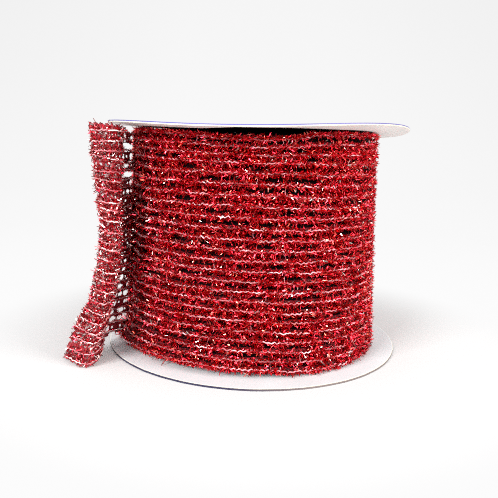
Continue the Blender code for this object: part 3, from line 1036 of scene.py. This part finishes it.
def cell_shade(tree, stops):
    """A shade by chance for each colour cell of the piece's own map, and the map in cells."""
    spot = add_node(tree, "UVMap", {"uv_map": "OFBake"})
    scaled = add_node(
        tree, "VectorMath", {"operation": "SCALE", "Scale": float(CELLS)}, {0: spot.outputs[0]}
    )
    cell = add_node(tree, "VectorMath", {"operation": "FLOOR"}, {0: scaled.outputs[0]})
    chance = add_node(tree, "TexWhiteNoise", {"noise_dimensions": "3D"}, {"Vector": cell.outputs[0]})
    shade = add_node(tree, "ValToRGB", links={0: chance.outputs["Value"]})
    return set_ramp(shade, stops).outputs[0], scaled.outputs[0]


def grain_shade(tree, stops, size, settings):
    """A shade that follows a noise fixed to the piece, with grains of a size in mm."""
    place = add_node(tree, "TexCoord")
    scale = {"Scale": 1.0 / (size * MM)}
    grain = add_node(tree, "TexNoise", {**scale, **settings}, {"Vector": place.outputs["Object"]})
    shade = add_node(tree, "ValToRGB", links={0: grain.outputs["Fac"]})
    return set_ramp(shade, stops).outputs[0]


def film_material(name, stops):
    """Polyester film, dyed red, metallised and slit: hard sparkle from each flat strip.

    Each strip has its own shade, and is painted darker towards its root as painted shade, where others cover
    it.
    """
    finish = {"Metallic": 1.0, "Roughness": 0.15, "Coat Weight": 0.1, "Coat Roughness": 0.1}
    material, tree, shader = new_material(name, finish)
    shade, in_cells = cell_shade(tree, stops)
    inside = add_node(tree, "VectorMath", {"operation": "FRACTION"}, {0: in_cells})
    parts = add_node(tree, "SeparateXYZ", links={0: inside.outputs[0]})
    # Painted shade: each strip darkens towards its root
    rise = add_node(tree, "MapRange", {"To Min": STRIP_ROOT_PAINTED_SHADE}, {"Value": parts.outputs["Y"]})
    colour = add_node(
        tree, "Mix", {"data_type": "RGBA", "blend_type": "MULTIPLY", 0: 1.0}, {6: shade, 7: rise.outputs[0]}
    )
    tree.links.new(colour.outputs[2], shader.inputs["Base Color"])
    return material


def thread_material(name, stops):
    """Polyester filament thread, looped into a chain: pale, with the film's red reflection painted on as a
    pink tint.
    """
    material, tree, shader = new_material(name, {"Roughness": 0.4, "Sheen Weight": 0.3})
    tree.links.new(cell_shade(tree, stops)[0], shader.inputs["Base Color"])
    return material


def under_material():
    """The same film in the layers beneath, packed: almost black red, as painted shade."""
    finish = {"Roughness": 0.9, "Specular IOR Level": 0.1}
    material, tree, shader = new_material("packed_metallised_film_painted_shade", finish)
    shade = grain_shade(tree, PACKED_PAINTED_SHADES, PACKED_GRAIN, {"Detail": 3.0, "Roughness": 0.6})
    tree.links.new(shade, shader.inputs["Base Color"])
    return material


def core_material(name, stops):
    """Film crushed together at its roots, dyed red: dull, and darker than the loose strips."""
    material, tree, shader = new_material(name, {"Roughness": 0.6})
    shade = grain_shade(tree, stops, CRUSHED_GRAIN, {"Detail": 2.0})
    tree.links.new(shade, shader.inputs["Base Color"])
    return material


# Profile of a flange from its axis to its rim, steps through the board's thickness, and the
# small waves of the cut edge: how many, how high, and the power of the radius with which they
# fade inwards. Corners over so many degrees stay sharp. The map gives each face a fixed share
RING_RADII = (0.0, 15.0, 30.0, 42.0, 52.0, 59.0, 64.0, 67.5, 69.3, 69.88)
EDGE_DEPTHS = (0.1, 0.35, 0.65, 0.9)
FLANGE_STEPS = 288
CUT_WAVES = ((7, 0.05), (19, 0.04), (43, 0.03))
CUT_WAVE_POWER = 8
SHARP_DEGREES = 50.0
FACE_SHARE = 0.35
EDGE_SHARE = 1.0 - 2.0 * FACE_SHARE


def make_flange(name, node, outer_height, inwards, bend, material):
    """A flange as a closed turned disc: outer face, cut edge with softened corners, inner face.

    The height is that of the outer face plus the depth into the board, and the bend of the
    disc is added. The cut edge strays from its circle by three small waves. The map runs
    round the disc one way and from the outer to the inner face the other way.
    """
    radii = np.array(RING_RADII)
    reach = np.concatenate([radii, np.full(len(EDGE_DEPTHS), FLANGE_RADIUS), radii[::-1]])[:, None]
    depth = np.concatenate([np.zeros(len(radii)), EDGE_DEPTHS, np.ones(len(radii))]) * BOARD_THICKNESS
    on_face = FACE_SHARE * radii / FLANGE_RADIUS
    on_edge = FACE_SHARE + EDGE_SHARE * np.array(EDGE_DEPTHS)
    mapped = np.concatenate([on_face, on_edge, 1.0 - on_face[::-1]])
    angle = np.arange(FLANGE_STEPS)[None] * 360.0 / FLANGE_STEPS
    turn = np.radians(angle)
    stray = sum(size * np.sin(count * turn + count) for count, size in CUT_WAVES)
    radius = reach + stray * (reach / FLANGE_RADIUS) ** CUT_WAVE_POWER
    signed = off_angle(angle, 0.0)
    shape = rim_bend(radius, signed) - board_dish(reach, signed)
    height = outer_height + inwards * depth[:, None] + bend * shape
    points = np.stack([radius * np.cos(turn), radius * np.sin(turn), height], -1).reshape(-1, 3)
    quads, line, column = ring_quads(len(reach) - 1, FLANGE_STEPS)
    uv = cell_map(column, FLANGE_STEPS, mapped[line], mapped[line + 1]).reshape(-1, 4, 2)
    if inwards < 0.0:
        quads, uv = quads[:, ::-1], uv[:, ::-1]
    piece = mesh_piece(name, points, quads, uv.reshape(-1, 2), material)
    piece.data.set_sharp_from_angle(angle=math.radians(SHARP_DEGREES))
    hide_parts(node)
    return piece


# The boards: sizes of their grains in mm, the print's border in mm, and where its shade turns
# from that of the left to that of the right. The print reaches a share of the way through the
# board, and is whole where a noise is below a limit
MOTTLE_SIZE = 50.0 / 3.0
PULP_GRAIN = 10.0 / 9.0
CHIP_SIZE = 3.125
BORDER_WIDTH = 1.0
PRINT_TURNS = (-10.0, 25.0)
OUTER_SHADES = ((0.3, "BCBBBC"), (0.7, "C6C6C6"))
PULP_SHADES = ((0.35, "B4AE9E"), (0.65, "CCC6B8"))
# The lower board's inner face is the same white paper, painted greyer where the lamps light it strongly
LOWER_BOARD = {
    "name": "coated_die_cut_board_lower", "inner": ((0.3, "C5C8CA"), (0.7, "CCCFD1")),
    # Its dark print line is print and painted shadow where the edge meets the floor, darkest at the left
    "print": ("1C1838", "6A5E5C"), "print_depth": 0.9, "whole_below": 1.0,
}
# The upper board's inner face is painted whiter, with a green tint, against the shade under it and the
# film's pink reflection
UPPER_BOARD = {
    "name": "coated_die_cut_board_upper", "inner": ((0.3, "EEF0EB"), (0.7, "F3F5F0")),
    "print": ("4E4A90", "5A5690"), "print_depth": 0.4, "whole_below": 0.72,
}


def board_material(board):
    """Greyboard with white coated paper on both faces, die cut: smooth, faintly mottled.

    The cut edge shows cream pulp. The print of the outer face is drawn over the corner, so
    that side of the edge has a thin coloured line, chipped off here and there, and the face
    has a narrow border of the same colour. On the lower board the line also paints the shadow
    where the edge meets the floor.
    """
    material, tree, shader = new_material(board["name"], {"Roughness": 0.5})
    place = add_node(tree, "TexCoord").outputs["Object"]
    spot = add_node(tree, "UVMap", {"uv_map": "OFBake"})
    across = add_node(tree, "SeparateXYZ", links={0: spot.outputs[0]}).outputs[1]
    print_end = FACE_SHARE + EDGE_SHARE * board["print_depth"]
    border = FACE_SHARE * BORDER_WIDTH / FLANGE_RADIUS
    chips = add_node(tree, "TexNoise", {"Scale": 1.0 / (CHIP_SIZE * MM), "Detail": 2.0}, {"Vector": place})
    on_inner, on_border, on_edge, before_end, whole = (
        add_node(tree, "Math", settings, {0: source}).outputs[0]
        for settings, source in (
            ({"operation": "GREATER_THAN", 1: 0.5}, across),
            ({"operation": "COMPARE", 1: FACE_SHARE, 2: border}, across),
            ({"operation": "COMPARE", 1: 0.5, 2: 0.5 * EDGE_SHARE + 0.001}, across),
            ({"operation": "LESS_THAN", 1: print_end}, across),
            ({"operation": "LESS_THAN", 1: board["whole_below"]}, chips.outputs["Fac"]),
        )
    )
    printed = add_node(tree, "Math", {"operation": "MULTIPLY"}, {0: before_end, 1: whole})
    on_print = add_node(tree, "Math", {"operation": "MULTIPLY"}, {0: on_edge, 1: printed.outputs[0]})
    left, right = (hex_colour(shade) for shade in board["print"])
    side = add_node(tree, "SeparateXYZ", links={0: place})
    start, end = (turn * MM for turn in PRINT_TURNS)
    to_right = add_node(tree, "MapRange", {"From Min": start, "From Max": end}, {"Value": side.outputs["X"]})
    line = add_node(tree, "Mix", {"data_type": "RGBA", 6: left, 7: right}, {0: to_right.outputs[0]})
    inner = grain_shade(tree, board["inner"], MOTTLE_SIZE, {"Detail": 5.0})
    pulp = grain_shade(tree, PULP_SHADES, PULP_GRAIN, {"Detail": 3.0})
    colour = grain_shade(tree, OUTER_SHADES, MOTTLE_SIZE, {"Detail": 5.0})
    for mask, settings, links in (
        (on_inner, {}, {7: inner}),
        (on_border, {7: left}, {}),
        (on_edge, {}, {7: pulp}),
        (on_print.outputs[0], {}, {7: line.outputs[2]}),
    ):
        mixed = add_node(tree, "Mix", {"data_type": "RGBA", **settings}, {0: mask, 6: colour, **links})
        colour = mixed.outputs[2]
    tree.links.new(colour, shader.inputs["Base Color"])
    return material


# Studio paper: its brightness at the roll, and how much it falls from a start to an end, by
# the reach, the height and the distance to a side
PAPER_BRIGHT = 0.97
FALL_BY_REACH = (150.0, 420.0, 0.025)
FALL_BY_HEIGHT = (60.0, 480.0, 0.03)
FALL_BY_SIDE = (200.0, 760.0, 0.045)

# Near the roll a share of it is ordinary paper, which fades out between two reaches. Where the
# lamps light that share, its own glow is less by what they give
PAPER_LIT_FROM = 82.0
PAPER_LIT_TO = 150.0
PAPER_LIT_SHARE = 0.55
LIGHT_ON_PAPER = 1.68


def stage_material(name):
    """Seamless studio paper, evenly lit.

    Its brightness falls a little with the distance, the height and to both sides. Near the
    roll it is ordinary paper, which takes shadows. Far out it glows by itself, and is grainless.
    """
    finish = {"Roughness": 1.0, "Specular IOR Level": 0.0, "Emission Color": hex_colour("FFFFFF")}
    material, tree, shader = new_material(name, finish)
    place = add_node(tree, "TexCoord")
    x, y, height = add_node(tree, "SeparateXYZ", links={0: place.outputs["Object"]}).outputs
    flat = add_node(tree, "CombineXYZ", links={0: x, 1: y})
    reach = add_node(tree, "VectorMath", {"operation": "LENGTH"}, {0: flat.outputs[0]}).outputs["Value"]
    aside = add_node(tree, "Math", {"operation": "ABSOLUTE"}, {0: x}).outputs[0]
    fade = {
        "interpolation_type": "SMOOTHSTEP", "From Min": PAPER_LIT_FROM * MM,
        "From Max": PAPER_LIT_TO * MM, "To Min": PAPER_LIT_SHARE, "To Max": 0.0,
    }
    lit = add_node(tree, "MapRange", fade, {"Value": reach}).outputs[0]
    grey = add_node(tree, "CombineColor", links={0: lit, 1: lit, 2: lit})
    falls = []
    for source, (start, end, size) in (
        (reach, FALL_BY_REACH), (height, FALL_BY_HEIGHT), (aside, FALL_BY_SIDE),
    ):
        settings = {"From Min": start * MM, "From Max": end * MM, "To Max": size}
        falls.append(add_node(tree, "MapRange", settings, {"Value": source}).outputs[0])
    from_lamps = add_node(tree, "Math", {"operation": "MULTIPLY", 1: LIGHT_ON_PAPER}, {0: lit})
    glow = {}
    for amount in (*falls, from_lamps.outputs[0]):
        less = add_node(tree, "Math", {"operation": "SUBTRACT", 0: PAPER_BRIGHT}, {**glow, 1: amount})
        glow = {0: less.outputs[0]}
    tree.links.new(grey.outputs[0], shader.inputs["Base Color"])
    tree.links.new(glow[0], shader.inputs["Emission Strength"])
    material.cycles.emission_sampling = "NONE"
    return material


# Stage: its flat floor, the round bend up to the wall, the wall, and half the back's angle
STAGE_FLAT = 900.0
STAGE_BEND = 700.0
STAGE_WALL = 900.0
STAGE_STEPS = 48
BEND_STEPS = 13
FLOOR_REACH = (0.5, 300.0, STAGE_FLAT + 10.0)
BACK_HALF = 65.0


def stage_surface(name, profile, first, last, material):
    """A surface turned about the axis: a profile of reach and height between two angles."""
    reach, height = profile
    angle = np.radians(np.linspace(first, last, STAGE_STEPS + 1))
    x, y = np.outer(reach, np.cos(angle)), np.outer(reach, np.sin(angle))
    z = np.repeat(height[:, None], STAGE_STEPS + 1, 1)
    points = np.stack([x, y, z], -1).reshape(-1, 3)
    rows, cols = np.meshgrid(np.arange(len(reach) - 1), np.arange(STAGE_STEPS), indexing="ij")
    here = rows * (STAGE_STEPS + 1) + cols
    quads = np.stack([here, here + STAGE_STEPS + 1, here + STAGE_STEPS + 2, here + 1], -1)
    mesh = bpy.data.meshes.new(name)
    mesh.from_pydata((points * MM).tolist(), [], quads.reshape(-1, 4).tolist())
    mesh.shade_smooth()
    mesh.materials.append(material)
    surface = bpy.data.objects.new(name, mesh)
    bpy.context.scene.collection.objects.link(surface)
    return surface


def make_stage():
    """Floor with a quarter round up to the back wall, and a like wall in front.

    The front wall is left out of reflections: the film mirrors the lamps and the dim world there.
    """
    turn = np.linspace(0.0, math.pi / 2.0, BEND_STEPS)
    reach = np.concatenate([STAGE_FLAT + STAGE_BEND * np.sin(turn), [STAGE_FLAT + STAGE_BEND]])
    height = np.concatenate([STAGE_BEND * (1.0 - np.cos(turn)), [STAGE_BEND + STAGE_WALL]])
    floor = (np.array(FLOOR_REACH), np.zeros(len(FLOOR_REACH)))
    paper = stage_material("studio_paper")
    stage_surface("studio_floor", floor, 0.0, 360.0, paper)
    stage_surface("studio_back", (reach, height), 90.0 - BACK_HALF, 90.0 + BACK_HALF, paper)
    front = stage_surface("studio_front", (reach, height), 90.0 + BACK_HALF, 450.0 - BACK_HALF, paper)
    front.visible_glossy = False


# Lamps, in metres and watts: name, place, what they face, size, power and colour
ROLL_MIDDLE = (0.0, 0.0, 0.06)
LAMPS = (
    ("left_box", (-0.62, -0.78, 0.42), ROLL_MIDDLE, (0.45, 0.55), 17.0, (1.0, 0.99, 0.98)),
    ("right_box", (0.88, -0.48, 0.42), ROLL_MIDDLE, (0.5, 0.6), 14.5, (1.0, 0.98, 0.96)),
    ("front_box", (0.1, -1.0, 0.5), ROLL_MIDDLE, (0.5, 0.5), 4.0, (1.0, 1.0, 1.0)),
    ("bounce", (0.16, -0.10, 0.002), (0.16, -0.10, 1.0), (0.2, 0.25), 0.05, (1.0, 1.0, 1.0)),
    ("top", (-0.05, 0.05, 1.1), (0.0, 0.0, 0.0), (0.8, 0.8), 3.0, (1.0, 1.0, 1.0)),
)
WORLD_LIGHT = 0.22

# Camera: its place, how far it looks down and is rolled in degrees, and its lens, as a
# focal length in pixels of a frame so many pixels wide
CAMERA_PLACE = (-2.6, -292.0, 97.6)
CAMERA_DOWN = 10.4
CAMERA_ROLL = 1.85
FOCAL_PIXELS = 600.0
FRAME_PIXELS = 498.0
SENSOR_WIDTH = 36.0


def area_light(name, place, target, size, power, colour):
    """A rectangular soft light at a place, in metres, that faces a target and doesn't show itself."""
    data = bpy.data.lights.new(name, "AREA")
    data.shape = "RECTANGLE"
    data.size, data.size_y = size
    data.energy = power
    data.color = colour
    lamp = bpy.data.objects.new(name, data)
    way = Vector(target) - Vector(place)
    lamp.rotation_euler = way.to_track_quat("-Z", "Y").to_euler()
    lamp.location = place
    lamp.visible_camera = False
    bpy.context.scene.collection.objects.link(lamp)


def make_camera():
    """The camera of the photograph: 292 mm in front of the axis, looking 10.4 degrees down."""
    data = bpy.data.cameras.new("camera")
    data.sensor_width = SENSOR_WIDTH
    data.lens = FOCAL_PIXELS / FRAME_PIXELS * SENSOR_WIDTH
    data.clip_start, data.clip_end = 0.01, 20.0
    camera = bpy.data.objects.new("camera", data)
    camera.matrix_world = (
        Matrix.Translation(Vector(CAMERA_PLACE) * MM)
        @ Matrix.Rotation(math.radians(90.0 - CAMERA_DOWN), 4, "X")
        @ Matrix.Rotation(math.radians(CAMERA_ROLL), 4, "Z")
    )
    bpy.context.scene.collection.objects.link(camera)
    bpy.context.scene.camera = camera


def make_light():
    """Soft studio light: a large box on each side in front, weaker ones in front and above.

    The world gives an even fill, and a faint lamp on the floor stands for light that the
    floor throws back up under the rim.
    """
    world = bpy.data.worlds.new("studio")
    world.use_nodes = True
    background = world.node_tree.nodes["Background"]
    background.inputs["Color"].default_value = hex_colour("FFFFFF")
    background.inputs["Strength"].default_value = WORLD_LIGHT
    bpy.context.scene.world = world
    for lamp in LAMPS:
        area_light(*lamp)


def main():
    """The whole roll, its stage, its light and its camera.

    The render settings keep single strips crisp: a narrow filter, no denoising, and indirect
    glints clamped and softened.
    """
    film = film_material("slit_metallised_polyester_film", FILM_SHADES_WITH_PAINTED_GLINTS)
    painted_light_film = film_material("slit_metallised_polyester_film_painted_light", LOOSE_FILM_PAINTED_LIGHT_SHADES)
    thread = thread_material("looped_polyester_thread", WOUND_THREAD_PAINTED_LIGHT)
    loose_thread = thread_material("looped_polyester_thread_loose", LOOSE_THREAD)
    make_under_layers(under_material())
    make_roll_film(film)
    make_row_cores(core_material("crushed_film_roots_painted_shade", CORE_PAINTED_SHADES))
    make_roll_chain(thread)
    tail = tail_grid()
    net = make_tail_net(core_material("crushed_film_net", NET_SHADES), tail)
    strips = make_tail_film(film, painted_light_film, tail)
    chain = make_tail_chain(loose_thread, tail)
    top = BOARD_THICKNESS * 2.0 + INNER_HEIGHT
    make_flange("lower_flange", "flange_bottom", 0.0, 1.0, 0.0, board_material(LOWER_BOARD))
    make_flange("upper_flange", "flange_top", top, -1.0, 1.0, board_material(UPPER_BOARD))
    make_stage()
    make_camera()
    make_light()
    scene = bpy.context.scene
    scene.view_settings.view_transform = "Standard"
    scene.cycles.use_denoising = False
    scene.cycles.filter_width = 1.1
    scene.cycles.sample_clamp_indirect = 1.0
    scene.cycles.blur_glossy = 4.0


main()
